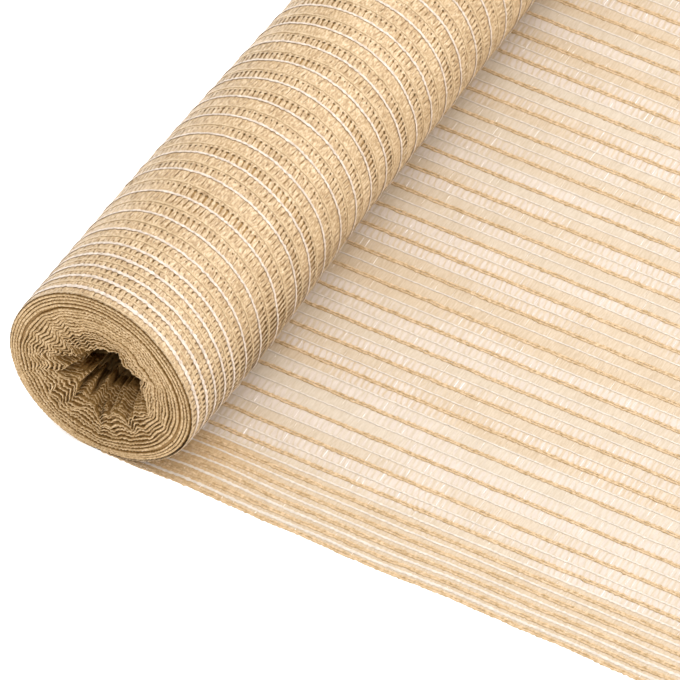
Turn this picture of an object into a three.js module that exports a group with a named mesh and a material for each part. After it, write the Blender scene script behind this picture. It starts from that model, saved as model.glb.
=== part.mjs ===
// A privacy screen net of knitted plastic tape, most of it still rolled up, its loose end laid out flat.
// Millimetres. X is the way the loose end runs, Y is along the roll, Z is up.
// The origin is on the surface, in the middle of the roll's flat underside.
import * as THREE from "three";

// Driving dimensions
const netWidth = 1000;         // selvage to selvage, which is the roll's length
const endRadius = 60;          // the roll at its two selvages, where the knitting is densest
const waist = 6.3;             // how much slimmer the roll is half way along
const flatHalfWidth = 9;       // half the flat spot that the roll lies on
const looseLength = 450;       // from under the roll's middle to the cut end
const clothThickness = 1.2;    // one layer of the net, at its chains
const pieceGap = 0.3;          // between the roll and the start of the loose end
const liftStart = 18;          // where the loose end's ridges begin, just clear of the roll's flank
const mouthShare = 0.7;        // share of the way from the outside to the bore at which the mouth lies
const boreNarrowing = 0.76;    // reach of the bore behind the mouth, as a share of the mouth's reach
const boreShrink = 0.06;       // share by which the open middle narrows further half way along
const foldTwist = 12;          // degrees by which the folds of the open middle turn from near end to far end
const foldRoundness = 0.8;     // how full the crests between the folds are: lower is fuller

// The folds of the crumpled open middle at its mouth. Each row is one fold that points outwards: the angle it
// lies at, in degrees from +X towards +Z, its reach from the axis, and the reach of the crest that follows it.
const mouthFolds = [
  { at: 19, notch: 28.6, crest: 20.5 },
  { at: 64, notch: 26.6, crest: 21.0 },
  { at: 102, notch: 23.0, crest: 18.5 },
  { at: 142, notch: 25.0, crest: 21.0 },
  { at: 178, notch: 32.5, crest: 28.0 },
  { at: 201, notch: 33.0, crest: 22.5 },
  { at: 235, notch: 36.3, crest: 27.8 },
  { at: 269, notch: 38.7, crest: 29.0 },
  { at: 302, notch: 35.8, crest: 30.5 },
  { at: 335, notch: 34.5, crest: 26.8 },
];

// The wound end from its outer rim to the bore, with the inner turns slipped deeper into the roll. Each row is a
// ring: how far it lies from the rim towards the bore, as a share, and how far it is set in along the roll.
const endRings = [
  { share: 0.0, nearInset: 0.8, farInset: 0.8 },
  { share: 0.06, nearInset: 0.0, farInset: 0.0 },
  { share: 0.17, nearInset: 0.4, farInset: 0.3 },
  { share: 0.2, nearInset: 4.0, farInset: 3.0 },
  { share: 0.23, nearInset: 0.6, farInset: 0.4 },
  { share: 0.45, nearInset: 1.0, farInset: 0.8 },
  { share: 0.7, nearInset: 2.0, farInset: 1.6 },
  { share: 0.8, nearInset: 6.0, farInset: 3.6 },
  { share: 0.9, nearInset: 10.5, farInset: 6.2 },
  { share: 1.0, nearInset: 15.0, farInset: 9.0 },
];

// Where the loosely wound near end sags out of round: the angle, half the width in degrees and the height of
// each swelling or dent, where it is strongest along Y, and how far it runs each way.
const sags = [
  { at: -35, halfWidth: 48, height: 4.2, y: -415, reach: 150 },
  { at: 50, halfWidth: 62, height: -3.6, y: -500, reach: 210 },
];

// Soft waves in the roll's outside: waves round the roll, waves along it, height, and start angle in degrees.
const rollWaves = [
  { round: 2, along: 0.5, height: 0.5, start: 20 },
  { round: 3, along: 1.5, height: 0.35, start: 130 },
  { round: 5, along: 3.5, height: 0.3, start: 75 },
];

// Long low ridges where the loose end lifts off the surface: place along Y, lift, half width, reach along X.
const looseRidges = [
  { at: -476, lift: 1.4, halfWidth: 22, reach: 120 },
  { at: -250, lift: 0.8, halfWidth: 45, reach: 320 },
  { at: 40, lift: 0.9, halfWidth: 60, reach: 380 },
  { at: 310, lift: 0.7, halfWidth: 50, reach: 300 },
];

// Small waves in the two selvages of the loose end: wave length along X, height, and start angle in degrees.
const selvageWaves = [
  { length: 190, height: 0.7, start: 150 },
  { length: 85, height: 0.4, start: 40 },
];

// Facets
const stepsRound = 84;
const stepsAlong = 14;
const looseStepsX = 16;
const looseStepsY = 16;
const closestStations = 2;     // rows of points on the loose end are no closer than this
const flankStep = 0.25;        // degrees, the step in which the roll's flank is searched

const netColor = 0xc9a26c;
const netMaterial = () => new THREE.MeshStandardMaterial({ color: netColor, roughness: 0.6, metalness: 0 });

const radians = THREE.MathUtils.degToRad;
const lerp = THREE.MathUtils.lerp;
const halfWidth = netWidth / 2;

// 0 at the two ends of the roll, 1 half way along.
function middleness(y) {
  return 0.5 + 0.5 * Math.cos((Math.PI * y) / halfWidth);
}

function rollRadius(y) {
  return endRadius - waist * middleness(y);
}

// The height of the roll's axis: the roll sags until its flat spot is as wide as stated.
function axisHeight(y) {
  const radius = rollRadius(y);
  return Math.sqrt(radius * radius - flatHalfWidth * flatHalfWidth);
}

// A soft bump: 1 in the middle, 0 from one reach away.
function bump(distance, reach) {
  const share = Math.min(Math.abs(distance) / reach, 1);
  return 0.5 + 0.5 * Math.cos(Math.PI * share);
}

// The roll's outside at an angle from the axis. The waves die out towards the surface.
function outerReach(angle, y) {
  const clearOfSurface = 0.5 + 0.5 * Math.sin(angle);
  const degrees = THREE.MathUtils.euclideanModulo(THREE.MathUtils.radToDeg(angle) + 90, 360) - 90;
  let reach = rollRadius(y);
  for (const sag of sags) {
    reach += sag.height * bump(degrees - sag.at, sag.halfWidth) * bump(y - sag.y, sag.reach);
  }
  for (const wave of rollWaves) {
    const phase = wave.round * angle + radians(wave.start) + (wave.along * Math.PI * y) / halfWidth;
    reach += clearOfSurface * wave.height * Math.sin(phase);
  }
  return reach;
}

// The mouth of the open middle at an angle: sharp folds outwards, with a rounded crest between each two.
function mouthReach(angle, y) {
  const turned = THREE.MathUtils.radToDeg(angle) - foldTwist * ((y + halfWidth) / netWidth);
  const degrees = THREE.MathUtils.euclideanModulo(turned, 360);
  const last = mouthFolds.findLastIndex((row) => degrees >= row.at);
  const fold = mouthFolds.at(last);
  const next = mouthFolds[(last + 1) % mouthFolds.length];
  const span = THREE.MathUtils.euclideanModulo(next.at - fold.at, 360);
  const along = THREE.MathUtils.euclideanModulo(degrees - fold.at, 360) / span;
  const line = lerp(fold.notch, next.notch, along);
  const depth = (fold.notch + next.notch) / 2 - fold.crest;
  const reach = line - depth * Math.pow(Math.sin(Math.PI * along), foldRoundness);
  return reach * (1 - boreShrink * middleness(y));
}

// The reach of the wound section: share 0 is the outside, mouthShare is the mouth, 1 is the bore behind it.
function woundReach(angle, y, share) {
  const mouth = mouthReach(angle, y);
  if (share <= mouthShare) return lerp(outerReach(angle, y), mouth, share / mouthShare);
  return lerp(mouth, mouth * boreNarrowing, (share - mouthShare) / (1 - mouthShare));
}

function woundPoint(angle, y, share, inset) {
  const reach = woundReach(angle, y, share);
  const height = axisHeight(y) + reach * Math.sin(angle);
  return [reach * Math.cos(angle), y + inset, Math.max(height, 0)];
}

// The faces between rings that hold their points in the same order. A looped skin comes back to its first ring.
function skinIndices(ringCount, around, looped) {
  const indices = [];
  const lastRing = looped ? ringCount : ringCount - 1;
  for (let r = 0; r < lastRing; r += 1) {
    const here = r * around;
    const there = ((r + 1) % ringCount) * around;
    for (let i = 0; i < around; i += 1) {
      const j = (i + 1) % around;
      indices.push(here + i, there + j, here + j);
      indices.push(here + i, there + i, there + j);
    }
  }
  return indices;
}

function meshGeometry(rings, indices) {
  const geometry = new THREE.BufferGeometry();
  geometry.setAttribute("position", new THREE.Float32BufferAttribute(rings.flat(2), 3));
  geometry.setIndex(indices);
  geometry.computeVertexNormals();
  return geometry;
}

// The wound roll: outside, far end, bore, near end.
function woundRoll() {
  const angles = Array.from({ length: stepsRound }, (_, i) => (i / stepsRound) * 2 * Math.PI);
  const ring = (y, share, inset) => angles.map((angle) => woundPoint(angle, y, share, inset));
  const rim = endRings[0];
  const lip = endRings[endRings.length - 1];
  const rings = [];
  for (let k = 0; k <= stepsAlong; k += 1) {
    const y = lerp(-halfWidth + rim.nearInset, halfWidth - rim.farInset, k / stepsAlong);
    rings.push(ring(y, 0, 0));
  }
  for (const row of endRings.slice(1)) rings.push(ring(halfWidth, row.share, -row.farInset));
  for (let k = 1; k < stepsAlong; k += 1) {
    const y = lerp(halfWidth - lip.farInset, -halfWidth + lip.nearInset, k / stepsAlong);
    rings.push(ring(y, 1, 0));
  }
  for (const row of endRings.slice(1).reverse()) rings.push(ring(-halfWidth, row.share, row.nearInset));
  return meshGeometry(rings, skinIndices(rings.length, stepsRound, true));
}

// How high the loose end lies off the surface at a point.
function looseLift(x, y) {
  let lift = 0;
  for (const ridge of looseRidges) {
    const middle = (ridge.reach + liftStart) / 2;
    lift += ridge.lift * bump(y - ridge.at, ridge.halfWidth) * bump(x - middle, middle - liftStart);
  }
  return lift;
}

// Where the loose end has a row of points along Y: evenly spaced, and closer together on each ridge.
function looseStations() {
  const stations = [];
  for (let k = 0; k <= looseStepsY; k += 1) stations.push(lerp(-halfWidth, halfWidth, k / looseStepsY));
  for (const ridge of looseRidges) {
    for (const share of [-1, -0.5, 0, 0.5, 1]) stations.push(ridge.at + share * ridge.halfWidth);
  }
  return stations.sort((a, b) => a - b).filter((y, k, all) => k === 0 || y - all[k - 1] > closestStations);
}

// Where the roll's flank reaches a height above the surface, on the side of the loose end.
function flankX(y, height) {
  let angle = -Math.PI / 2;
  while (axisHeight(y) + outerReach(angle, y) * Math.sin(angle) < height) angle += radians(flankStep);
  return Math.max(outerReach(angle, y) * Math.cos(angle), flatHalfWidth);
}

// How far a selvage of the loose end wanders from its straight line.
function selvageWander(x) {
  let wander = 0;
  for (const wave of selvageWaves) {
    wander += wave.height * Math.sin((2 * Math.PI * x) / wave.length + radians(wave.start));
  }
  return wander * THREE.MathUtils.smoothstep(x, liftStart, 3 * liftStart);
}

// The loose end: it starts beside the roll's flat spot, one gap away from its flank, and ends at the cut.
function looseEnd() {
  const rings = [];
  for (const y of looseStations()) {
    const side = Math.round(y / halfWidth);
    const lower = [];
    const upper = [];
    const row = (list, height) => {
      const startX = flankX(y, height + pieceGap) + 2 * pieceGap;
      for (let i = 0; i <= looseStepsX; i += 1) {
        const x = lerp(startX, looseLength, i / looseStepsX);
        const selvage = Math.abs(y) === halfWidth ? selvageWander(x) * side : 0;
        list.push([x, y + selvage, looseLift(x, y) + height]);
      }
    };
    row(lower, 0);
    row(upper, clothThickness);
    rings.push([...lower, ...upper.reverse()]);
  }
  const around = rings[0].length;
  const indices = skinIndices(rings.length, around, false);
  return meshGeometry(rings, indices.concat(selvageCaps(rings.length, around)));
}

// The two selvage faces of the loose end, between its lower and upper points.
function selvageCaps(ringCount, around) {
  const last = (ringCount - 1) * around;
  const indices = [];
  for (let i = 0; i < around / 2 - 1; i += 1) {
    const low = [i, i + 1];
    const high = [around - 1 - i, around - 2 - i];
    indices.push(low[0], low[1], high[1], low[0], high[1], high[0]);
    indices.push(last + low[0], last + high[1], last + low[1], last + low[0], last + high[0], last + high[1]);
  }
  return indices;
}

function namedMesh(name, geometry) {
  const mesh = new THREE.Mesh(geometry, netMaterial());
  mesh.name = name;
  return mesh;
}

const net = new THREE.Group();
net.add(namedMesh("wound_roll", woundRoll()));
net.add(namedMesh("loose_end", looseEnd()));

export default net;
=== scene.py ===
"""Looks of the privacy screen net: its knit, its wound turns, its materials, the floor, light and camera.

Sizes in the tables are millimetres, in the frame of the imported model: X is the way the loose end runs,
Y is along the roll, Z is up. Angles in the tables are degrees, counted from X towards Z. How far in a
turn lies is a share: 0 at the outside, MOUTH_SHARE at the mouth, 1 at the wall of the open middle.
"""
import math

import bpy
import numpy as np
from mathutils import Matrix, Vector


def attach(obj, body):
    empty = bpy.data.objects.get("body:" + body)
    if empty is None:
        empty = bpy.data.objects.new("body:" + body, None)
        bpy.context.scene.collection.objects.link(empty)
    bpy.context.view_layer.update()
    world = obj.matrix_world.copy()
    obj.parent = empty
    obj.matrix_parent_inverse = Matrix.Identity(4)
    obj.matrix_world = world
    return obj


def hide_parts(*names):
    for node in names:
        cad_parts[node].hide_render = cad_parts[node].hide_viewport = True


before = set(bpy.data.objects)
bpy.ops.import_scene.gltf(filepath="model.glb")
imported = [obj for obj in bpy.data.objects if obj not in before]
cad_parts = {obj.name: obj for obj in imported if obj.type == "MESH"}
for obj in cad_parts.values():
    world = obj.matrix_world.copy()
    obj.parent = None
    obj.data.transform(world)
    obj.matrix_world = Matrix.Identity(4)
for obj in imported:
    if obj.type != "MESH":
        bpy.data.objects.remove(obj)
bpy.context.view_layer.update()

# Metres in a millimetre
MM = 0.001

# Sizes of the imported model
NET_WIDTH = 1000.0
HALF_WIDTH = NET_WIDTH / 2
END_RADIUS = 60.0
FLAT_HALF_WIDTH = 9.0
LOOSE_LENGTH = 450.0
LIFT_START = 18.0
# How much smaller the roll's radius is half way along it
WAIST = 6.3
MOUTH_SHARE = 0.7
# Reach of the wall behind the mouth, as a share of the mouth's, and how much narrower it is half way along
BORE_NARROWING = 0.76
BORE_SHRINK = 0.06
# How far the folds of the open middle turn from end to end, and how round they are
FOLD_TWIST = 12.0
FOLD_ROUNDNESS = 0.8

# Folds of the open middle at its mouth: angle, reach of the notch, reach of the crest after it
MOUTH_FOLDS = [
    (19, 28.6, 20.5), (64, 26.6, 21.0), (102, 23.0, 18.5), (142, 25.0, 21.0), (178, 32.5, 28.0),
    (201, 33.0, 22.5), (235, 36.3, 27.8), (269, 38.7, 29.0), (302, 35.8, 30.5), (335, 34.5, 26.8),
]
# Swellings and dents of the near end: angle, half width, height, place along Y, reach along Y
SAGS = [(-35, 48, 4.2, -415, 150), (50, 62, -3.6, -500, 210)]
# Waves of the outside: waves round, waves along, height, start angle
ROLL_WAVES = [(2, 0.5, 0.5, 20), (3, 1.5, 0.35, 130), (5, 3.5, 0.3, 75)]
# Ridges of the loose end: place along Y, lift, half width, reach along X
LOOSE_RIDGES = [(-476, 1.4, 22, 120), (-250, 0.8, 45, 320), (40, 0.9, 60, 380), (310, 0.7, 50, 300)]
# Waves of the two loose selvages: wave length, height, start angle
SELVAGE_WAVES = [(190, 0.7, 150), (85, 0.4, 40)]
# The share of the half width, next to a selvage, that wanders with those waves
SELVAGE_ZONE = 0.1

# Number of sine waves in a noise
NOISE_WAVES = 5
# Faces that meet at more than this are shaded as a sharp edge
SHARP_ANGLE = 100.0


# Camera, at the photograph's viewing angle: degrees, metres, and the lens in its own millimetres
VIEW_AZIMUTH, VIEW_ELEVATION, VIEW_ROLL = 27.52, 44.97, 2.47
VIEW_TARGET, VIEW_DISTANCE = (0.0744, -0.3512, 0.0), 6.99
LENS, SENSOR_WIDTH = 642.6, 36.0
CLIP_START, CLIP_END = 0.1, 60.0


def show(thing):
    bpy.context.scene.collection.objects.link(thing)


def make_camera():
    azimuth, elevation, roll = (math.radians(v) for v in (VIEW_AZIMUTH, VIEW_ELEVATION, VIEW_ROLL))
    level = math.cos(elevation)
    back = Vector((math.sin(azimuth) * level, -math.cos(azimuth) * level, math.sin(elevation)))
    right = Vector((math.cos(azimuth), math.sin(azimuth), 0.0))
    up = back.cross(right)
    turned_right = math.cos(roll) * right + math.sin(roll) * up
    turned_up = math.cos(roll) * up - math.sin(roll) * right
    data = bpy.data.cameras.new("camera")
    data.lens, data.sensor_width = LENS, SENSOR_WIDTH
    data.clip_start, data.clip_end = CLIP_START, CLIP_END
    camera = bpy.data.objects.new("camera", data)
    place = Matrix((turned_right, turned_up, back)).transposed().to_4x4()
    place.translation = Vector(VIEW_TARGET) + back * VIEW_DISTANCE
    camera.matrix_world = place
    show(camera)
    bpy.context.scene.camera = camera


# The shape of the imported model, point by point, for whole arrays at once. Angles here are radians.
def middleness(y):
    return 0.5 + 0.5 * np.cos(np.pi * y / HALF_WIDTH)


def roll_radius(y):
    return END_RADIUS - WAIST * middleness(y)


def axis_height(y):
    return np.sqrt(roll_radius(y) ** 2 - FLAT_HALF_WIDTH ** 2)


def bump(distance, reach):
    return 0.5 + 0.5 * np.cos(np.pi * np.minimum(np.abs(distance) / reach, 1))


def outer_reach(angle, y):
    degrees = np.mod(np.degrees(angle) + 90, 360) - 90
    reach = roll_radius(y) + 0 * angle
    for at, half, height, place, span in SAGS:
        reach = reach + height * bump(degrees - at, half) * bump(y - place, span)
    for waves, along, height, start in ROLL_WAVES:
        phase = waves * angle + math.radians(start) + along * np.pi * y / HALF_WIDTH
        reach = reach + (0.5 + 0.5 * np.sin(angle)) * height * np.sin(phase)
    return reach


def mouth_reach(angle, y):
    at, notch, crest = (np.array(v, float) for v in zip(*MOUTH_FOLDS))
    degrees = np.mod(np.degrees(angle) - FOLD_TWIST * (y + HALF_WIDTH) / NET_WIDTH, 360)
    last = np.searchsorted(at, degrees, side="right") - 1
    following = (last + 1) % len(at)
    last = last % len(at)
    along = np.mod(degrees - at[last], 360) / np.mod(at[following] - at[last], 360)
    line = notch[last] + (notch[following] - notch[last]) * along
    depth = (notch[last] + notch[following]) / 2 - crest[last]
    reach = line - depth * np.sin(np.pi * along) ** FOLD_ROUNDNESS
    return reach * (1 - BORE_SHRINK * middleness(y))


def section_reach(angle, y, share):
    """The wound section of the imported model, from its outside to the wall of its open middle."""
    outer, mouth = outer_reach(angle, y), mouth_reach(angle, y)
    to_mouth = (mouth - outer) * np.minimum(share / MOUTH_SHARE, 1)
    to_bore = mouth * (1 - BORE_NARROWING) * np.maximum(share - MOUTH_SHARE, 0) / (1 - MOUTH_SHARE)
    return outer + to_mouth - to_bore


def loose_lift(x, y):
    lift = 0 * x * y
    for at, height, half, reach in LOOSE_RIDGES:
        middle = (reach + LIFT_START) / 2
        lift = lift + height * bump(y - at, half) * bump(x - middle, middle - LIFT_START)
    return lift


def selvage_wander(x):
    wander = 0 * x
    for length, height, start in SELVAGE_WAVES:
        wander = wander + height * np.sin(2 * np.pi * x / length + math.radians(start))
    share = np.clip((x - LIFT_START) / (2 * LIFT_START), 0, 1)
    return wander * share * share * (3 - 2 * share)


def soft_noise(u, v, seed):
    """Smooth noise without any state: a few sine waves with fixed, unrelated directions."""
    chooser = np.random.default_rng(seed)
    total = 0 * u * v
    for _ in range(NOISE_WAVES):
        across, along = chooser.uniform(-1, 1), chooser.uniform(-1, 1)
        phase = chooser.uniform(0, 2 * np.pi)
        total = total + np.sin(2 * np.pi * (across * u + along * v) + phase)
    return total / NOISE_WAVES


def add_piece(name, points, faces, material):
    """A closed mesh piece from millimetre points, with its faces turned outwards."""
    points = np.asarray(points, float).reshape(-1, 3)
    mesh = bpy.data.meshes.new(name)
    mesh.from_pydata((points * MM).tolist(), [], [face for group in faces for face in group.tolist()])
    mesh.update()
    mesh.shade_smooth()
    mesh.set_sharp_from_angle(angle=math.radians(SHARP_ANGLE))
    mesh.materials.append(material)
    piece = bpy.data.objects.new(name, mesh)
    show(piece)
    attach(piece, "root")
    return piece


def tube_faces(count, rows, around, flip=False, looped=False):
    """Faces of many tubes, each a list of rows of points. A looped tube comes back to its first row."""
    index = np.arange(count * rows * around).reshape(count, rows, around)
    here = index if looped else index[:, :-1]
    there = np.roll(index, -1, axis=1) if looped else index[:, 1:]
    quads = np.stack([here, there, np.roll(there, -1, axis=2), np.roll(here, -1, axis=2)], axis=-1)
    quads = quads.reshape(-1, 4)
    caps = [] if looped else [index[:, 0], index[:, -1, ::-1]]
    if flip:
        return [quads[:, ::-1], *[cap[:, ::-1] for cap in caps]]
    return [quads, *caps]


def mark_points(piece, name, values):
    """One value for each point of a piece, which its material reads by name."""
    mark = piece.data.attributes.new(name, "FLOAT", "POINT")
    mark.data.foreach_set("value", np.asarray(values, np.float32).ravel())


# Where the chains lie. White ones counted in from the near selvage: on the roll, on the loose end
WHITE_CHAINS = [
    (6.6, 5.2), (16.6, 14.5), (26.2, 24.0), (37.0, 34.9), (47.4, 45.5), (61.4, 59.8), (78.6, 79.0),
    (98.6, 99.6), (120.6, 120.2), (137.2, 138.0), (155.8, 156.8), (174.8, 174.6),
]
# The columns of that table
ROLL, LOOSE = 0, 1
# How many of them belong to the denser selvage, and how far apart those after the table lie
SELVAGE_COUNT = 5
CHAIN_PITCH = 18.7
# The beige chain at each selvage, counted in from it
EDGE_CHAIN = 1.3
# How far past the middle the chains are still drawn in full detail
FULL_DETAIL_REACH = 20.0


def white_lines(column):
    near = [row[column] for row in WHITE_CHAINS]
    far = [NET_WIDTH - value for value in near[SELVAGE_COUNT::-1]]
    count = round((far[0] - near[-1]) / CHAIN_PITCH)
    between = np.linspace(near[-1], far[0], count + 1)[1:-1]
    return np.array([*near, *between, *far])


def beige_lines(column):
    whites = white_lines(column)
    return np.array([EDGE_CHAIN, *(whites[:-1] + whites[1:]) / 2, NET_WIDTH - EDGE_CHAIN])


def near_and_far(lines):
    border = HALF_WIDTH + FULL_DETAIL_REACH
    return lines[lines < border], lines[lines >= border]


# The rungs of tape, one for each course. Rung tables go from one white chain to the next: share of the
# way, width as a share of the course pitch, looseness, lean of its crease.
COURSE_PITCH = 3.7
ROLL_RUNGS = {
    "near": [
        (0.05, 1.07, 0.0, 0.6), (0.11, 1.00, 1.0, 0.4), (0.30, 1.00, 1.0, -0.3), (0.36, 0.68, 1.0, -0.5),
        (0.42, 1.07, 0.0, -0.6), (0.57, 1.07, 0.0, -0.5), (0.70, 1.02, 0.8, 0.0), (0.93, 1.05, 0.3, 0.5),
    ],
    "selvage": [
        (0.10, 1.06, 0.0, 0.5), (0.20, 0.78, 0.3, 0.3), (0.32, 1.06, 0.2, 0.0),
        (0.68, 1.04, 0.4, -0.2), (0.80, 0.80, 0.3, -0.3), (0.90, 1.06, 0.0, 0.2),
    ],
    "far": [(0.0, 1.07, 0.0, 0.5), (0.37, 0.86, 1.0, -0.3), (0.62, 1.05, 0.8, 0.2)],
}
LOOSE_RUNGS = {
    "near": [
        (0.0, 1.06, 0.0, 0.5), (0.10, 1.04, 1.0, 0.2), (0.38, 1.04, 1.0, -0.2),
        (0.5, 1.06, 0.0, 0.0), (0.62, 1.04, 0.9, 0.2), (0.90, 1.04, 0.9, -0.2),
    ],
    "selvage": [
        (0.0, 1.06, 0.0, 0.5), (0.3, 1.06, 0.4, 0.2), (0.5, 1.06, 0.0, 0.0), (0.7, 1.06, 0.4, -0.4),
    ],
    "far": [(0.0, 1.06, 0.0, 0.5), (0.36, 1.02, 0.7, -0.3), (0.64, 1.02, 0.7, 0.2)],
}
# The same outside the outermost white chains, what a rung ends with, and how far from the selvage
EDGE_RUNG = [(0.0, 0.84, 0.0, 0.0), (0.5, 1.02, 0.0, 0.0)]
EDGE_END = (0.6, 0.0, 0.0)
EDGE_MARGIN = 0.4
# Bands between white chains narrower than this share of the chain pitch are selvage bands
NARROW_BAND = 0.75

# Where the net is stretched open: its mean, and how far the bands differ in that and in their patches
MEAN_SLACK = 0.56
BAND_SPREAD = 0.28
BAND_OFFSET = 40
# How uneven the rungs are: holes by course and by point, widths, leans, creases
COURSE_SPREAD, POINT_SPREAD = 0.22, 0.12
WIDTH_SPREAD, LEAN_SPREAD, CREASE_SPREAD = 0.03, 0.28, 0.3
MOST_LEAN = 0.85
# How far a rung sways across where its crease leans fully, and at random as a share of the pitch
SWAY, RANDOM_SWAY = 0.6, 0.10
# Slow changes of its width, size in courses, size across and share, and of its random sway, how often in a
# course and size across
FINE_COURSES, FINE_LENGTH, FINE_SHARE = 2.3, 9, 0.05
SWAY_RATE, SWAY_LENGTH = 3.1, 27
# Its crease as a share of the full one: where the net is tight, and what is added where it is loose
TIGHT_CREASE, LOOSE_CREASE = 0.6, 0.8
# How much its corners rise and fall at random, as a share of its crease
CRINKLE = 0.2
# The random changes of holes and creases stay between these shares
HOLE_LIMITS, CREASE_LIMITS = (0.3, 1.5), (0.3, 1.8)

# Each knit: height of the crease, size of its loose patches in courses and across, seed
ROLL_KNIT = {"crease": 0.26, "patch_size": (22, 90), "seed": 11}
LOOSE_KNIT = {"crease": 0.05, "patch_size": (34, 90), "seed": 23}
# How far the holes are open: on the roll, and on the loose end by distance from the roll's middle
ROLL_SLACK = 0.31
LOOSE_SLACK = ([70, 150], [0.0, 0.03])
# How far the tape lies under the outside of the roll, and over the surface
ROLL_TAPE_DROP, LOOSE_TAPE_LIFT = 0.35, 0.25
# The outermost turn and the loose end go no lower than this
LOWEST_ON_ROLL, LOWEST_ON_FLOOR = 0.15, 0.05

# How dense the bands of the loose end look, at random, and how dark its selvages are, by distance from the
# roll's middle: darkest next to the roll
BAND_DENSITY, BAND_SEED = (0.0, 0.4), 5
SELVAGE_DARKNESS_BY_PLACE = ([55, 105], [1.0, 0.42])

# The outermost turn: it leaves the wound turns under the roll and ends where the loose end leaves the roll
WRAP_START, WRAP_END = 270.0, -76.0
# Where the courses of the loose end begin, and how much of its length has none
LOOSE_START, LOOSE_REST = 3.0, 6


def rung_samples(column, tables):
    """Places along a rung, and there its width, its looseness and its lean."""
    edges = np.array([EDGE_MARGIN, *white_lines(column), NET_WIDTH - EDGE_MARGIN])
    rows = []
    for index, (start, stop) in enumerate(zip(edges[:-1], edges[1:])):
        if index in (0, len(edges) - 2):
            shares = EDGE_RUNG
        elif start > HALF_WIDTH:
            shares = tables["far"]
        elif stop - start < NARROW_BAND * CHAIN_PITCH:
            shares = tables["selvage"]
        else:
            shares = tables["near"]
        rows += [(start + (stop - start) * share, *rest) for share, *rest in shares]
    return np.array([*rows, (edges[-1], *EDGE_END)]).T


def slackness(lines, courses, patch_size, seed):
    """Where the net is stretched open, 0 to 1: patches that change from band to band and along each."""
    chains = np.sort(np.concatenate([white_lines(ROLL), beige_lines(ROLL)]))
    bands = np.searchsorted(chains, lines)
    count = bands.max() + 1
    offset = np.random.default_rng(seed).uniform(-BAND_OFFSET, BAND_OFFSET, count)[bands]
    tightness = np.random.default_rng(seed + 1).normal(0, BAND_SPREAD, count)[bands]
    along, across = patch_size
    patch = soft_noise((courses[:, None] + offset) / along, lines[None, :] / across, seed)
    return np.clip(MEAN_SLACK + patch + tightness, 0, 1)


def rung_sections(samples, courses, slack, crease, patch_size, seed):
    """Offsets of the three corners of each rung section, across and up, and how far the net opens there."""
    lines, widths, looseness, leans = samples
    chooser = np.random.default_rng(seed)
    shape = (len(courses), len(lines))
    patch = slackness(lines, courses, patch_size, seed)
    fine = soft_noise(courses[:, None] / FINE_COURSES, lines[None, :] / FINE_LENGTH, seed + 1)
    by_course = chooser.normal(0, COURSE_SPREAD, (len(courses), 1))
    uneven = (1 + by_course + chooser.normal(0, POINT_SPREAD, shape)).clip(*HOLE_LIMITS)
    half = 0.5 * COURSE_PITCH * (widths - slack * looseness * patch * uneven) * (1 + FINE_SHARE * fine)
    half = half * (1 + chooser.normal(0, WIDTH_SPREAD, shape))
    lean = np.clip(leans + chooser.normal(0, LEAN_SPREAD, shape), -MOST_LEAN, MOST_LEAN)
    ridge = crease * (TIGHT_CREASE + LOOSE_CREASE * patch)
    ridge = ridge * (1 + chooser.normal(0, CREASE_SPREAD, shape)).clip(*CREASE_LIMITS)
    drift = soft_noise(courses[:, None] * SWAY_RATE, lines[None, :] / SWAY_LENGTH, seed + 2)
    sway = RANDOM_SWAY * COURSE_PITCH * drift + SWAY * leans
    across = np.stack([sway - half, sway + lean * half, sway + half], axis=-1)
    up = np.stack([0 * ridge, ridge, 0 * ridge], axis=-1)
    crinkle = CRINKLE * crease * chooser.normal(0, 1, shape)
    return across, up + crinkle[:, :, None], looseness * patch


def on_roll(angle, y, across, up):
    """A point on the outermost turn, moved across by an arc and up off the surface."""
    reach = outer_reach(angle, y)
    turned = angle - across / reach
    total = reach + up
    height = np.maximum(axis_height(y) + total * np.sin(turned), LOWEST_ON_ROLL)
    return np.stack([total * np.cos(turned), y + 0 * turned, height], axis=-1)


def on_floor(x, y, across, up):
    """A point on the loose end, moved across along X and up off the surface."""
    place = x + across
    edge = np.clip((np.abs(y) - (1 - SELVAGE_ZONE) * HALF_WIDTH) / (SELVAGE_ZONE * HALF_WIDTH), 0, 1)
    side = y + np.sign(y) * edge * selvage_wander(place)
    return np.stack([place, side, np.maximum(loose_lift(place, side) + up, LOWEST_ON_FLOOR)], axis=-1)


def wrap_courses():
    """The courses of the outermost turn and their angles."""
    count = round(2 * math.pi * END_RADIUS / COURSE_PITCH * (WRAP_START - WRAP_END) / 360)
    return np.arange(count), np.radians(np.linspace(WRAP_START, WRAP_END, count))


def loose_courses():
    """The courses of the loose end and their places along X."""
    count = int((LOOSE_LENGTH - LOOSE_REST) / COURSE_PITCH)
    return np.arange(count), LOOSE_START + COURSE_PITCH * np.arange(count)


def make_roll_net(material):
    """The outermost turn of the net: one ribbon of tape for each course."""
    samples = rung_samples(ROLL, ROLL_RUNGS)
    courses, angles = wrap_courses()
    across, up, _ = rung_sections(samples, courses, ROLL_SLACK, **ROLL_KNIT)
    y = (samples[0] - HALF_WIDTH)[None, :, None]
    points = on_roll(angles[:, None, None], y, across, up - ROLL_TAPE_DROP)
    faces = tube_faces(len(courses), samples.shape[1], 3)
    return add_piece("roll_net", points, faces, material)


def band_density(lines, places):
    """How closely knit the tape looks, uneven from band to band, and at the selvages full next to the roll
    and paler further out.
    """
    whites = white_lines(LOOSE)
    bands = np.random.default_rng(BAND_SEED).uniform(*BAND_DENSITY, len(whites) + 1)
    bands[:SELVAGE_COUNT] = bands[-SELVAGE_COUNT:] = 1.0
    dense = bands[np.searchsorted(whites, lines)][None, :]
    return dense * np.where(dense < 1, 1.0, np.interp(places, *SELVAGE_DARKNESS_BY_PLACE)[:, None])


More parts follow.
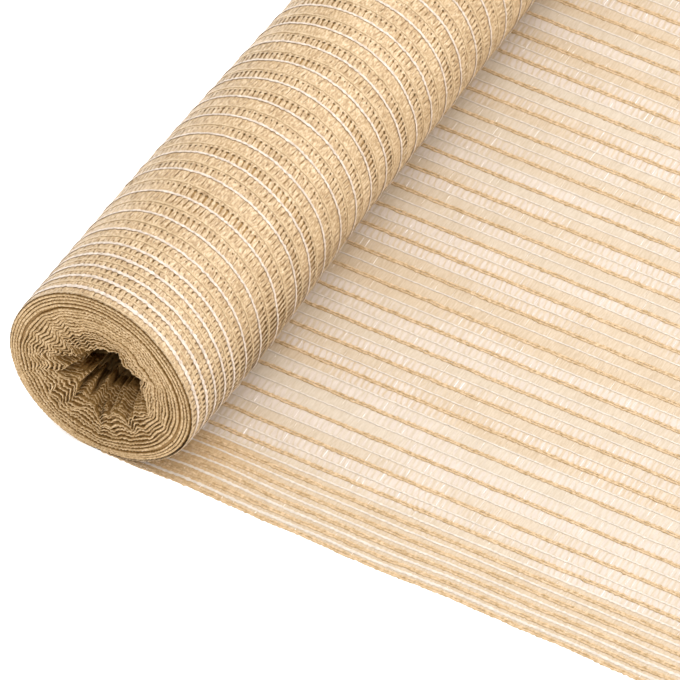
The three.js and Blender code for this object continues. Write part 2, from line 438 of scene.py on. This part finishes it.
def make_loose_net(material):
    """The tape of the loose end, one ribbon for each course."""
    samples = rung_samples(LOOSE, LOOSE_RUNGS)
    courses, places = loose_courses()
    slack = np.interp(places, *LOOSE_SLACK)[:, None]
    across, up, opened = rung_sections(samples, courses, slack, **LOOSE_KNIT)
    y = (samples[0] - HALF_WIDTH)[None, :, None]
    points = on_floor(places[:, None, None], y, across, up + LOOSE_TAPE_LIFT)
    faces = tube_faces(len(courses), samples.shape[1], 3, True)
    piece = add_piece("loose_net", points, faces, material)
    dense = band_density(samples[0], places)
    mark_points(piece, "dense", np.broadcast_to(dense[:, :, None], points.shape[:3]))
    # Where the net opens, the sides of a rung get a paler colour: painted light for the bright floor showing
    # through.
    mark_points(piece, "painted_floor_light", np.stack([opened, 0 * opened, opened], axis=-1))
    return piece


# The chains: half width, half height, how many times wider at the selvages, lift of their middle
ROLL_CHAINS = {"white": (0.85, 0.38, 1.5, 0.08), "beige": (1.0, 0.22, 0.8, -0.12)}
LOOSE_CHAINS = {"white": (0.52, 0.26, 2.0, 0.40), "beige": (1.0, 0.30, 1.1, 0.38)}
# How far from a selvage the chains are still made wider: distance, share of the full widening
WIDE_CHAINS = ([8, 20, 50, 65], [1.0, 0.6, 0.4, 0.0])
# Half the distance between the two strands of a beige chain on the loose end
STRAND_OFFSET = 0.75
# How far the chains of the loose end run past its first and last course
CHAIN_OVERHANG = (1.5, 3.2)
# Sides of a chain's tube and points for each of its stitches, near and far
CHAIN_DETAIL = {"white": ((5, 2), (4, 1)), "beige": ((4, 2), (4, 1))}
# Between stitches and in the middle of one a chain is this thick, as a share, and at random
STITCH_SWELL, STITCH_SPREAD = (0.72, 1.16), 0.10
# How far a chain strays sideways, slowly and from point to point, as a share of its half width
CHAIN_WANDER, CHAIN_WOBBLE = 0.35, 0.16
# Over how many points it strays, and how much that differs from one chain to the next
WANDER_POINTS, WANDER_CHANGE = 9, 7.3


def chain_section(lines, rows, detail, sizes, seed):
    """Offsets along Y and upwards of each row of a chain, which is a row of knitted stitches."""
    sides, per_stitch = detail
    half_width, half_height, selvage_width = sizes
    chooser = np.random.default_rng(seed)
    widen = np.interp(np.minimum(lines, NET_WIDTH - lines), *WIDE_CHAINS)[:, None, None]
    step = np.arange(rows) % per_stitch
    swell = 1.0 if per_stitch == 1 else np.where(step == 0, *STITCH_SWELL)
    swell = swell * (1 + chooser.normal(0, STITCH_SPREAD, (len(lines), rows)))
    turn = 2 * np.pi * (np.arange(sides) + 0.5) / sides - np.pi / 2
    aside = half_width * (1 + (selvage_width - 1) * widen) * swell[:, :, None] * np.cos(turn)
    up = half_height * swell[:, :, None] * np.sin(turn)
    wander = soft_noise(np.arange(rows)[None, :] / WANDER_POINTS, lines[:, None] * WANDER_CHANGE, seed)
    wobble = chooser.normal(0, 1, (len(lines), rows))
    stray = CHAIN_WANDER * half_width * wander + CHAIN_WOBBLE * half_width * wobble
    return aside + stray[:, :, None], up


def make_chains(name, lines, place, run, detail, sizes, material, flip):
    """Chains along the net, each one tube. place puts them on the roll or on the floor.

    run is where they start, where they stop and how many stitches they have.
    """
    start, stop, stitches = run
    sides, per_stitch = detail
    rows = stitches * per_stitch + 1
    aside, up = chain_section(lines, rows, detail, sizes[:3], len(name))
    along = np.linspace(start, stop, rows)[None, :, None]
    y = (lines - HALF_WIDTH)[:, None, None] + aside
    points = place(along + 0 * y, y, 0.0, up + sizes[3])
    return add_piece(name, points, tube_faces(len(lines), rows, sides, flip), material)


def strands(lines):
    return np.sort(np.concatenate([lines - STRAND_OFFSET, lines + STRAND_OFFSET]))


def make_roll_chains(materials):
    run = (math.radians(WRAP_START), math.radians(WRAP_END), len(wrap_courses()[0]) - 1)
    for colour, lines in (("white", white_lines(ROLL)), ("beige", beige_lines(ROLL))):
        for part, chosen, detail in zip(("near", "far"), near_and_far(lines), CHAIN_DETAIL[colour]):
            make_chains(f"roll_chains_{colour}_{part}", chosen, on_roll, run, detail, ROLL_CHAINS[colour],
                        materials[colour], False)


def make_loose_chains(materials):
    """The chains of the loose end. The far ones have one point for every two courses."""
    places = loose_courses()[1]
    start, stop = places[0] - CHAIN_OVERHANG[0], places[-1] + CHAIN_OVERHANG[1]
    runs = {"near": (start, stop, len(places)), "far": (start, stop, len(places) // 2)}
    pieces = []
    for colour, lines in (("white", white_lines(LOOSE)), ("beige", strands(beige_lines(LOOSE)))):
        for part, chosen, detail in zip(("near", "far"), near_and_far(lines), CHAIN_DETAIL[colour]):
            pieces.append(make_chains(f"loose_chains_{colour}_{part}", chosen, on_floor, runs[part], detail,
                                      LOOSE_CHAINS[colour], materials[f"{colour}_loose"],
                                      True))
    return pieces


# The wound turns under the outermost one: turns wound, and how far in that is at first
TURN_COUNT = 24
OUTER_TURNS = ([0, 3.35, 3.65], [0.02, 0.148, 0.185])
# The turn that forms the mouth: on average, how many fewer below, and the angle of that side
MOUTH_TURN, MOUTH_TURN_SWING, MOUTH_TURN_ANGLE = 15.2, 3.1, 270.0
# The folds of the mouth fade outwards into this plain round: reach, how far it leans and which way
MOUTH_ROUND, MOUTH_LEAN, MOUTH_LEAN_ANGLE = 26.5, 5.6, 272.0
# How fast they fade outwards, and by what share they are shallower at the innermost turn
MOUTH_FADE, DEEP_SOFTENING = 2.4, 0.5
# The folds wander sideways from turn to turn: by how much, in radians, at each share, and how often
STRAY_GROWTH = ([0.4, 0.7, 1.0], [0.0, 0.04, 0.09])
STRAY_TURNS = 4.5
# How far the inner turns lie off the roll's axis, and the way they have slipped
OFF_CENTRE, OFF_CENTRE_ANGLE = 2.4, 230.0
# Small folds that the turns share: waves round, height, start angle, radians they shift on the way inwards
TURN_FOLDS = [(11, 1.9, 40, 3.0), (19, 1.9, 210, -4.0), (31, 0.6, 95, 7.0), (47, 0.35, 300, -12.0)]
# How large they are, by how far in they lie
FOLD_GROWTH = ([0, 0.2, 0.4, 0.7, 0.85, 1.0], [0.0, 0.12, 0.8, 1.05, 1.8, 2.2])
# The side of the roll that is crumpled most, how far round that goes, and how little the other side is
CRUMPLED_ANGLE, CRUMPLED_REACH, CALMEST = 215.0, 150.0, 0.3
# How sharp they are, 1 for a cusp and 2 for a plain wave, and how many radians they drift at random
FOLD_SHARPNESS, FOLD_DRIFT = 1.1, 2.2
# Their size as a share: on average, what is added at random, and its limits
FOLD_SIZE, FOLD_SIZE_CHANGE, FOLD_SIZE_LIMITS = 0.75, 0.9, (0.1, 1.7)
# How often a noise of theirs changes round the roll, and on the way inwards
NOISE_ROUND, NOISE_INWARDS = 1.7, (2.4, 1.9)
# Inner turns rest on the last layer of the loose end, which passes under them
LOWEST_TURN = 0.8
# How many points the length of the spiral is measured at
SPIRAL_POINTS = 6000

# How far in from the selvages' plain place the turns end, by how far in they lie, at each end
INSET_SHARES = [0, 0.06, 0.17, 0.23, 0.45, 0.7, 0.8, 0.9, 1.0]
NEAR_INSETS = (INSET_SHARES, [0.4, 0.2, 0.4, 0.8, 1.0, 2.0, 7.5, 13.5, 20.0])
FAR_INSETS = (INSET_SHARES, [0.4, 0.2, 0.4, 0.8, 0.9, 1.6, 3.6, 6.2, 9.0])
LEAST_INSET, INSET_SPREAD = 0.05, 0.14
# How uneven that is: by how far in they lie, and two slow changes: height, radians long, turns long
INSET_UNEVENNESS = ([0, 0.2, 1], [0.3, 0.8, 1.2])
INSET_CHANGES = [(0.9, 2.1, 1.7), (0.6, 0.625, 1.0)]

# The selvage of one turn in section: how far out or in of its middle, as a share of its half thickness,
# and how far behind its edge. The last two are the far side of the ribbon, inside the wound core.
EDGE_SECTION = [
    (-1.2, 2.2), (-1.0, 0.7), (-0.55, 0.0), (0.55, 0.0), (1.0, 0.7), (1.2, 2.2), (1.5, 9.0), (-1.5, 9.0),
]
# Half thickness of a turn as a share of the gap to the next, and what a knob adds to it
TURN_THICKNESS = ([0.0, 0.04, 0.15, 0.3, 0.6, 0.75], [0.50, 0.40, 0.38, 0.42, 0.38, 0.30])
KNOB_THICKNESS = (OUTER_TURNS[1][1:], [0.26, 0.08])
LEAST_GAP = 1.3
THICKNESS_LIMITS, THICKNESS_SPREAD = (0.2, 0.95), 0.05
# How much thinner the turns are above the middle, and a slow change: share, how often in a radian, in a turn
THINNER_ABOVE, THICKNESS_CHANGE = 0.05, (0.20, 1.7, 0.9)
# Knobs of the selvage: how far apart, how far they stand out of it
KNOB_PITCH, KNOB_HEIGHT = 2.3, 0.6
# How many knobs they drift along it at random, and over what length
KNOB_DRIFT, KNOB_DRIFT_LENGTH = 0.4, 9
# How pale the edges of the turns are, by how far in they lie, which is a painted shade that darkens them
# towards the open middle, and their random and slow changes
INWARD_PAINTED_SHADE = ([0.15, 0.3, MOUTH_SHARE - 0.1, 0.95], [1.0, 0.9, 0.9, 0.5])
PALENESS_SPREAD, PALENESS_CHANGE = 0.12, (0.35, 0.6, 1.3)


def sharp_wave(phase):
    """A wave with rounded troughs and sharp peaks, as a fold in stiff cloth has."""
    return 1 - 2 * np.abs(np.sin(phase / 2)) ** FOLD_SHARPNESS


def round_noise(angle, share, seed):
    """Noise that is the same after a full turn round the roll, and changes slowly from turn to turn."""
    along, down = NOISE_INWARDS
    return soft_noise(NOISE_ROUND * np.cos(angle) + along * share,
                      NOISE_ROUND * np.sin(angle) - down * share, seed)


def crumple(angle, share):
    """How far the small folds push a turn out or in."""
    away = np.mod(np.degrees(angle) - CRUMPLED_ANGLE + 180, 360) - 180
    growth = np.interp(share, *FOLD_GROWTH) * (CALMEST + (1 - CALMEST) * bump(away, CRUMPLED_REACH))
    total = 0
    for waves, height, start, lean in TURN_FOLDS:
        drift = FOLD_DRIFT * round_noise(angle, share, waves)
        phase = waves * angle + math.radians(start) + lean * share + drift
        size = FOLD_SIZE + FOLD_SIZE_CHANGE * round_noise(angle, share, waves + 1)
        total = total + growth * (height * size.clip(*FOLD_SIZE_LIMITS)) * sharp_wave(phase)
    return total


def wound_reach(angle, y, share):
    """How far from the roll's axis a wound turn lies."""
    to_mouth = np.minimum(share / MOUTH_SHARE, 1)
    behind = np.maximum(share - MOUTH_SHARE, 0) / (1 - MOUTH_SHARE)
    plain_round = MOUTH_ROUND + MOUTH_LEAN * np.cos(angle - math.radians(MOUTH_LEAN_ANGLE))
    strayed = angle + np.interp(share, *STRAY_GROWTH) * np.sin(STRAY_TURNS * np.pi * share + 2 * angle)
    mouth, strayed_mouth = mouth_reach(angle, y), mouth_reach(strayed, y)
    reach = section_reach(angle, y, share)
    reach = reach - (mouth - plain_round) * (to_mouth - to_mouth ** MOUTH_FADE)
    reach = reach + (strayed_mouth - mouth) * to_mouth
    reach = reach - DEEP_SOFTENING * behind * (strayed_mouth - plain_round)
    slip = np.sin(np.pi * to_mouth) * np.cos(angle - math.radians(OFF_CENTRE_ANGLE))
    return reach + OFF_CENTRE * slip + crumple(angle, share)


def wound_point(angle, y, share, up=0.0):
    reach = wound_reach(angle, y, share) + up
    height = np.maximum(axis_height(y) + reach * np.sin(angle), LOWEST_TURN)
    return np.stack([reach * np.cos(angle), y + 0 * reach, height], axis=-1)


def spiral_angle(turns):
    return math.radians(WRAP_START) - 2 * np.pi * turns


def turn_share(turns):
    """How far in the spiral lies after so many turns."""
    swing = np.cos(spiral_angle(turns) - math.radians(MOUTH_TURN_ANGLE))
    at_mouth = MOUTH_TURN - MOUTH_TURN_SWING * swing
    last, share = OUTER_TURNS[0][-1], OUTER_TURNS[1][-1]
    to_mouth = share + (MOUTH_SHARE - share) * (turns - last) / (at_mouth - last)
    past_mouth = MOUTH_SHARE + (1 - MOUTH_SHARE) * (turns - at_mouth) / (TURN_COUNT - at_mouth)
    inner = np.where(turns < at_mouth, to_mouth, past_mouth)
    return np.where(turns < last, np.interp(turns, *OUTER_TURNS), np.minimum(inner, 1.0))


def spiral(step):
    """Turns wound so far and the length along them, at even steps of that length, from the outside in."""
    turns = np.linspace(0.0, TURN_COUNT, SPIRAL_POINTS)
    reach = wound_reach(spiral_angle(turns), -HALF_WIDTH, turn_share(turns))
    length = np.concatenate([[0], np.cumsum(np.diff(turns) * 2 * np.pi * reach[1:])])
    even = np.arange(0, length[-1], step)
    return np.interp(even, length, turns), even


def turn_gap(turns, side):
    """How far apart the turns lie there, from the middle of one to the middle of the next."""
    angle, y = spiral_angle(turns), side * HALF_WIDTH
    outside = section_reach(angle, y, turn_share(np.maximum(turns - 0.5, 0)))
    return outside - section_reach(angle, y, turn_share(np.minimum(turns + 0.5, TURN_COUNT)))


def turn_thickness(turns, knob, side, seed, chooser):
    """Half thickness of the turns at their selvage."""
    angle, share = spiral_angle(turns), turn_share(turns)
    thick = np.interp(share, *TURN_THICKNESS) + np.interp(share, *KNOB_THICKNESS) * knob
    change, round_rate, turn_rate = THICKNESS_CHANGE
    thick = thick - THINNER_ABOVE * np.sin(angle)
    thick = thick + change * soft_noise(angle * round_rate, turns * turn_rate, seed + 2)
    thick = thick * np.maximum(turn_gap(turns, side), LEAST_GAP)
    return (thick + chooser.normal(0, THICKNESS_SPREAD, len(turns))).clip(*THICKNESS_LIMITS)


def turn_inset(turns, knob, insets, seed, chooser):
    """How far in from the selvage's plain place the turns end."""
    angle, share = spiral_angle(turns), turn_share(turns)
    uneven = 0
    for number, (height, round_length, turn_length) in enumerate(INSET_CHANGES):
        uneven = uneven + height * soft_noise(angle / round_length, turns / turn_length, seed + number)
    inset = np.interp(share, *insets) + uneven * np.interp(share, *INSET_UNEVENNESS)
    inset = inset - KNOB_HEIGHT * knob + chooser.normal(0, INSET_SPREAD, len(turns))
    return np.maximum(inset, LEAST_INSET)


def turn_paleness_and_painted_shade(turns, seed, chooser):
    """How pale the edges of the turns are, 0 to 1: a painted shade darkens them towards the open middle, and
    their tone changes at random and slowly.
    """
    pale = np.interp(turn_share(turns), *INWARD_PAINTED_SHADE)
    change, round_rate, turn_rate = PALENESS_CHANGE
    patches = change * soft_noise(spiral_angle(turns) * round_rate, turns * turn_rate, seed + 4)
    return (pale * (1 + patches + chooser.normal(0, PALENESS_SPREAD, len(turns)))).clip(0, 1)


def make_turn_edges(name, side, step, insets, seed, material):
    """The knobbly selvages of the inner turns, one long spiral ribbon that stands on the wound core."""
    turns, length = spiral(step)
    angle, share = spiral_angle(turns), turn_share(turns)
    chooser = np.random.default_rng(seed)
    knobs = length / KNOB_PITCH + KNOB_DRIFT * soft_noise(length / KNOB_DRIFT_LENGTH, turns, seed)
    knob = np.clip(np.sin(2 * np.pi * knobs), 0, 1)
    thick = turn_thickness(turns, knob, side, seed, chooser)
    inset = turn_inset(turns, knob, insets, seed, chooser)
    points = []
    for out, deep in EDGE_SECTION:
        points.append(wound_point(angle, side * (HALF_WIDTH - inset - deep), share, out * thick))
    faces = tube_faces(1, len(turns), len(EDGE_SECTION), side > 0)
    piece = add_piece(name, np.stack(points, axis=1)[None], faces, material)
    # Only the points at the edge take the pale colour; the sides and back take the darker one, painted shade
    # between the turns.
    at_edge = np.array([1.0 if deep == 0 else 0.0 for _, deep in EDGE_SECTION])
    pale = turn_paleness_and_painted_shade(turns, seed, chooser)
    mark_points(piece, "edge", pale[:, None] * at_edge[None, :])
    return piece


# The wound core and the wall of the open middle: points round them
CORE_AROUND = 240
# The core's side: how far in from the selvages it begins, its rings, how far it lies under the outside
CORE_START, CORE_RINGS, CORE_DROP = 8, 31, 1.25
# How far behind the edges of its turns the wound core begins, by how far in they lie
CORE_DEPTH = ([0.15, 0.3, 0.7, 0.9], [1.5, 2.2, 2.4, 3.6])
# Rings of the wall, counted in from the near selvage: first, last, how many
LINING_RINGS = [(25.5, 90, 8), (130, NET_WIDTH - 130, 11), (NET_WIDTH - 90, NET_WIDTH - 10.5, 8)]
# Thickness of the wall, and how far outwards the rings of the core's ends are moved to stay within it
LINING_THICKNESS, CORE_LIFT = 1.1, 1.0
# Chains on the wall: which of them, since none can be made out deeper in, their points and their section
SEEN_NEAR, SEEN_FAR = slice(6, 13), slice(-8, -2)
BORE_CHAIN_AROUND, BORE_CHAIN_SIDES = 150, 3
BORE_CHAIN_MIDDLE, BORE_CHAIN_HALF_HEIGHT = -0.15, 0.45
BORE_CHAIN_HALF_WIDTHS = {"white": 0.5, "beige": 0.9}


def circle(count):
    return np.linspace(0, 2 * np.pi, count, endpoint=False)


def make_closed_body(name, rings, material):
    faces = tube_faces(1, len(rings), CORE_AROUND, False, True)
    return add_piece(name, np.array(rings)[None], faces, material)


def make_core(material):
    """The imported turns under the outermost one, which show between the edges and between the rungs."""
    angle = circle(CORE_AROUND)
    shares = np.array(INSET_SHARES[1:])
    along = np.linspace(-HALF_WIDTH + CORE_START, HALF_WIDTH - CORE_START, CORE_RINGS)
    rings = [wound_point(angle, np.full_like(angle, y), 0.0, -CORE_DROP) for y in along]
    for side, insets in ((1, FAR_INSETS), (-1, NEAR_INSETS)):
        deep = np.interp(shares, *insets) + np.interp(shares, *CORE_DEPTH)
        face = [wound_point(angle, np.full_like(angle, side * (HALF_WIDTH - inset)), share, CORE_LIFT)
                for share, inset in zip(shares, deep)]
        rings += face[::side]
    return make_closed_body("wound_core", rings, material)


def make_bore_lining(material):
    """The innermost turn, a thin closed wall round the open middle."""
    angle = circle(CORE_AROUND)
    places = np.concatenate([np.linspace(*rings) for rings in LINING_RINGS]) - HALF_WIDTH
    outer = [wound_point(angle, np.full_like(angle, y), 1.0, LINING_THICKNESS) for y in places]
    inner = [wound_point(angle, np.full_like(angle, y), 1.0) for y in places[::-1]]
    return make_closed_body("bore_lining", outer + inner, material)


def make_bore_chains(colour, lines, material):
    """Chains that show on the wall of the open middle, each a closed ring."""
    seen = np.concatenate([lines[SEEN_NEAR], lines[SEEN_FAR]])
    angle = circle(BORE_CHAIN_AROUND)[None, :, None]
    turn = 2 * np.pi * np.arange(BORE_CHAIN_SIDES) / BORE_CHAIN_SIDES
    y = (seen - HALF_WIDTH)[:, None, None] + BORE_CHAIN_HALF_WIDTHS[colour] * np.cos(turn)
    up = BORE_CHAIN_MIDDLE - BORE_CHAIN_HALF_HEIGHT * np.sin(turn)
    points = wound_point(angle + 0 * y, y + 0 * angle, 1.0, up)
    faces = tube_faces(len(seen), BORE_CHAIN_AROUND, BORE_CHAIN_SIDES, True, True)
    return add_piece(f"bore_chains_{colour}", points, faces, material)


# Materials. Noises: how often they change in a metre along each axis, detail, roughness
PATCHES = ((38, 38, 38), 3.0, 0.55)
CREASES = ((1000, 150, 1000), 4.0, 0.65)
SPECKLE = ((700, 700, 700), 3.0, 0.7)
YARN_TONE = ((420, 420, 420), 3.0, 0.6)
YARN_TWIST = ((900, 900, 900), 2.0, 0.5)
# Streaks of the tape, on the loose end and on the roll, and their detail and roughness
STREAKS, ROLL_STREAKS = (1500, 160, 1500), (900, 300, 900)
STREAK_DETAIL = (3.0, 0.6)
# Where patches begin and are full, and where yarn is darkest and lightest
PATCH_RANGE, YARN_RANGE = (0.35, 0.68), (0.32, 0.66)
# Relief: strength, and height in metres where it is always the same
TAPE_RELIEF, EDGE_RELIEF, YARN_RELIEF = 0.6, (0.8, 0.0004), (0.7, 0.0003)
# Roughness and specular level
EDGE_FINISH, YARN_SPECULAR = (0.5, 0.2), 0.4
BLACK, WHITE = (0, 0, 0), (1, 1, 1)


def new_material(name):
    material = bpy.data.materials.new(name)
    material.use_nodes = True
    return material, material.node_tree.nodes, material.node_tree.links


def noise_node(nodes, links, stretch, detail, rough):
    """Noise over a piece's own position. stretch is how often it changes in a metre along each axis."""
    place = nodes.new("ShaderNodeTexCoord")
    mapping = nodes.new("ShaderNodeMapping")
    mapping.inputs["Scale"].default_value = stretch
    links.new(place.outputs["Object"], mapping.inputs["Vector"])
    noise = nodes.new("ShaderNodeTexNoise")
    noise.inputs["Scale"].default_value = 1.0
    noise.inputs["Detail"].default_value = detail
    noise.inputs["Roughness"].default_value = rough
    links.new(mapping.outputs["Vector"], noise.inputs["Vector"])
    return noise.outputs["Fac"]


def mark_node(nodes, name):
    mark = nodes.new("ShaderNodeAttribute")
    mark.attribute_name = name
    return mark.outputs["Fac"]


def ramp_node(nodes, links, value, stops):
    ramp = nodes.new("ShaderNodeValToRGB")
    stops = list(stops)
    elements = ramp.color_ramp.elements
    while len(elements) < len(stops):
        elements.new(0.5)
    for element, (at, colour) in zip(elements, stops):
        element.position, element.color = at, (*colour, 1)
    links.new(value, ramp.inputs["Fac"])
    return ramp.outputs["Color"]


def mix_node(nodes, links, kind, first, second, share=None):
    """Two colours mixed by a share that is linked in, or in full where there is none."""
    mix = nodes.new("ShaderNodeMix")
    mix.data_type, mix.blend_type = "RGBA", kind
    mix.inputs["Factor"].default_value = 1.0
    if share is not None:
        links.new(share, mix.inputs["Factor"])
    links.new(first, mix.inputs["A"])
    links.new(second, mix.inputs["B"])
    return mix.outputs["Result"]


def set_finish(nodes, roughness, specular, alpha=1.0):
    shader = nodes["Principled BSDF"]
    shader.inputs["Roughness"].default_value = roughness
    shader.inputs["Specular IOR Level"].default_value = specular
    shader.inputs["Alpha"].default_value = alpha


def add_relief(nodes, links, height, strength, distance):
    """Bumps that only the light shows. distance is their height in metres."""
    relief = nodes.new("ShaderNodeBump")
    relief.inputs["Strength"].default_value = strength
    relief.inputs["Distance"].default_value = distance
    links.new(height, relief.inputs["Height"])
    links.new(relief.outputs["Normal"], nodes["Principled BSDF"].inputs["Normal"])


def tape_material(name, stops, patch_colour, finish, bumps, streak_scale=STREAKS, marked=()):
    """Flat plastic tape, streaked, crinkled and patchy. finish is its roughness, specular level and alpha.

    marked lists the marks that give it another colour: name, where it begins and is full, colours.
    """
    material, nodes, links = new_material(name)
    streaks = noise_node(nodes, links, streak_scale, *STREAK_DETAIL)
    patches = noise_node(nodes, links, *PATCHES)
    colour = ramp_node(nodes, links, streaks, stops)
    for mark, begins, full, other_stops in marked:
        amount = ramp_node(nodes, links, mark_node(nodes, mark), [(begins, BLACK), (full, WHITE)])
        other = ramp_node(nodes, links, streaks, other_stops)
        colour = mix_node(nodes, links, "MIX", colour, other, amount)
    patch = ramp_node(nodes, links, patches, zip(PATCH_RANGE, (WHITE, patch_colour)))
    colour = mix_node(nodes, links, "MULTIPLY", colour, patch)
    links.new(colour, nodes["Principled BSDF"].inputs["Base Color"])
    set_finish(nodes, *finish)
    add_relief(nodes, links, noise_node(nodes, links, *CREASES), TAPE_RELIEF, bumps)
    return material


def edge_material(name, painted_shade_wall, edge):
    """The selvages of the wound turns: pale knobbly edges, and the net behind them in a darker colour,
    painted shade in the gaps between the turns.
    """
    material, nodes, links = new_material(name)
    speckle = noise_node(nodes, links, *SPECKLE)
    pale = ramp_node(nodes, links, speckle, edge)
    dark = ramp_node(nodes, links, speckle, painted_shade_wall)
    colour = mix_node(nodes, links, "MIX", dark, pale, mark_node(nodes, "edge"))
    links.new(colour, nodes["Principled BSDF"].inputs["Base Color"])
    set_finish(nodes, *EDGE_FINISH)
    add_relief(nodes, links, speckle, *EDGE_RELIEF)
    return material


def yarn_material(name, dark, light, roughness):
    """Knitted yarn: stitch by stitch changes of tone and a fine twist."""
    material, nodes, links = new_material(name)
    tone = noise_node(nodes, links, *YARN_TONE)
    colour = ramp_node(nodes, links, tone, zip(YARN_RANGE, (dark, light)))
    links.new(colour, nodes["Principled BSDF"].inputs["Base Color"])
    set_finish(nodes, roughness, YARN_SPECULAR)
    add_relief(nodes, links, noise_node(nodes, links, *YARN_TWIST), *YARN_RELIEF)
    return material


# Floor and light, in metres and watts
FLOOR_REACH = 6.0
FLOOR_LOOKS = {
    "Base Color": (0.93, 0.93, 0.93, 1),
    "Roughness": 0.9,
    "Specular IOR Level": 0.0,
    "Emission Color": (1.0, 1.0, 1.0, 1),
    "Emission Strength": 0.45,
}
STUDIO_STRENGTH = 1.26
# Square lamps that point at the roll's middle: name, place, side, power
LAMPS = [("top", (0.6, 0.8, 2.6), 1.9, 47.0), ("side", (2.4, 0.6, 1.8), 1.8, 26.0)]


def make_floor():
    """A plain pale floor, lit from below as a light table is."""
    mesh = bpy.data.meshes.new("floor")
    corners = [(-1, -1, 0), (1, -1, 0), (1, 1, 0), (-1, 1, 0)]
    mesh.from_pydata([(FLOOR_REACH * x, FLOOR_REACH * y, z) for x, y, z in corners], [], [(0, 1, 2, 3)])
    floor = bpy.data.objects.new("floor", mesh)
    show(floor)
    material, nodes, _ = new_material("floor_white")
    for socket, value in FLOOR_LOOKS.items():
        nodes["Principled BSDF"].inputs[socket].default_value = value
    mesh.materials.append(material)


def make_light():
    """Soft studio light from all sides and from the lamps."""
    world = bpy.data.worlds.new("studio")
    world.use_nodes = True
    world.node_tree.nodes["Background"].inputs["Color"].default_value = (1.0, 1.0, 1.0, 1)
    world.node_tree.nodes["Background"].inputs["Strength"].default_value = STUDIO_STRENGTH
    bpy.context.scene.world = world
    for name, place, size, power in LAMPS:
        data = bpy.data.lights.new(name, "AREA")
        data.shape, data.size, data.energy = "SQUARE", size, power
        lamp = bpy.data.objects.new(name, data)
        lamp.location = place
        lamp.rotation_euler = (-Vector(place)).to_track_quat("-Z", "Y").to_euler()
        show(lamp)


make_camera()
bpy.context.scene.view_settings.view_transform = "Standard"

# Colours of the tape: place in the streaks, colour
ROLL_TAPE = [(0.36, (0.33, 0.21, 0.10)), (0.50, (0.475, 0.33, 0.18)), (0.64, (0.64, 0.49, 0.315))]
LOOSE_TAPE = [(0.30, (0.515, 0.42, 0.31)), (0.50, (0.575, 0.48, 0.37)), (0.70, (0.635, 0.545, 0.44))]
# Paler tape where the net opens: painted light for the bright floor seen through it.
PAINTED_FLOOR_LIGHT_TAPE = [(0.30, (0.575, 0.48, 0.395)), (0.50, (0.62, 0.525, 0.45)), (0.70, (0.66, 0.575, 0.505))]
SELVAGE_TAPE = [(0.30, (0.44, 0.275, 0.125)), (0.50, (0.535, 0.365, 0.19)), (0.70, (0.62, 0.455, 0.28))]
EDGE_TAPE = [(0.34, (0.34, 0.21, 0.085)), (0.50, (0.50, 0.34, 0.175)), (0.64, (0.68, 0.50, 0.30))]
# Sides and back of the turns' selvages: painted shade, darker than the tape, for the gaps between the turns
# and the funnel of the open middle.
EDGE_PAINTED_SHADE = [(0.34, (0.16, 0.08, 0.02)), (0.50, (0.25, 0.14, 0.04)), (0.64, (0.36, 0.21, 0.075))]
# Tape of the turns under the outermost one: painted darker and browner than its tape, painted shade that
# shows through its holes and between the turns' edges.
CORE_PAINTED_SHADE = [(0.3, (0.36, 0.20, 0.07)), (0.7, (0.52, 0.33, 0.14))]
# The wall of the open middle: tape painted very dark, painted shade for the depth of the open middle.
BORE_PAINTED_SHADE = [(0.3, (0.14, 0.075, 0.022)), (0.7, (0.30, 0.18, 0.065))]
# Colours that the patches of a tape are multiplied by
ROLL_PATCH, LOOSE_PATCH, INNER_PATCH = (0.88, 0.85, 0.80), (0.95, 0.94, 0.92), (0.8, 0.8, 0.8)

roll_tape = tape_material("roll_tape", ROLL_TAPE, ROLL_PATCH, (0.42, 0.45, 1.0), 0.0006,
                          streak_scale=ROLL_STREAKS)
# The loose end's tape: paler where the net opens, which is painted light for the floor below.
loose_tape_with_painted_light = tape_material("loose_tape_with_painted_light", LOOSE_TAPE, LOOSE_PATCH, (0.45, 0.45, 0.88), 0.0003,
                           marked=[("dense", 0.0, 1.0, SELVAGE_TAPE), ("painted_floor_light", 0.22, 0.5, PAINTED_FLOOR_LIGHT_TAPE)])
edge_tape_with_painted_shade = edge_material("edge_tape_with_painted_shade", EDGE_PAINTED_SHADE, EDGE_TAPE)
# The wound core's tape is painted darker, as painted shade under the outermost turn.
core_painted_shade = tape_material("core_painted_shade", CORE_PAINTED_SHADE, INNER_PATCH, (0.7, 0.2, 1.0), 0.0004)
# The wall's tape is painted dark, as painted shade deep in the open middle.
bore_painted_shade = tape_material("bore_painted_shade", BORE_PAINTED_SHADE, INNER_PATCH, (0.7, 0.15, 1.0), 0.0006)
chains = {
    "white": yarn_material("white_yarn", (0.42, 0.33, 0.25), (0.68, 0.58, 0.49), 0.45),
    "beige": yarn_material("beige_yarn", (0.38, 0.255, 0.13), (0.57, 0.42, 0.25), 0.45),
    "white_loose": yarn_material("white_yarn_loose", (0.50, 0.43, 0.355), (0.64, 0.565, 0.485), 0.5),
    "beige_loose": yarn_material("beige_yarn_loose", (0.38, 0.245, 0.11), (0.63, 0.455, 0.28), 0.5),
}

roll_net = make_roll_net(roll_tape)
loose_net = make_loose_net(loose_tape_with_painted_light)
make_roll_chains(chains)
loose_chains = make_loose_chains(chains)
make_turn_edges("turn_edges_near", -1, 0.7, NEAR_INSETS, 31, edge_tape_with_painted_shade)
make_turn_edges("turn_edges_far", 1, 2.3, FAR_INSETS, 47, edge_tape_with_painted_shade)
make_core(core_painted_shade)
make_bore_lining(bore_painted_shade)
make_bore_chains("white", white_lines(ROLL), chains["white"])
make_bore_chains("beige", beige_lines(ROLL), chains["beige"])

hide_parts("wound_roll")
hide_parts("loose_end")
make_floor()
make_light()
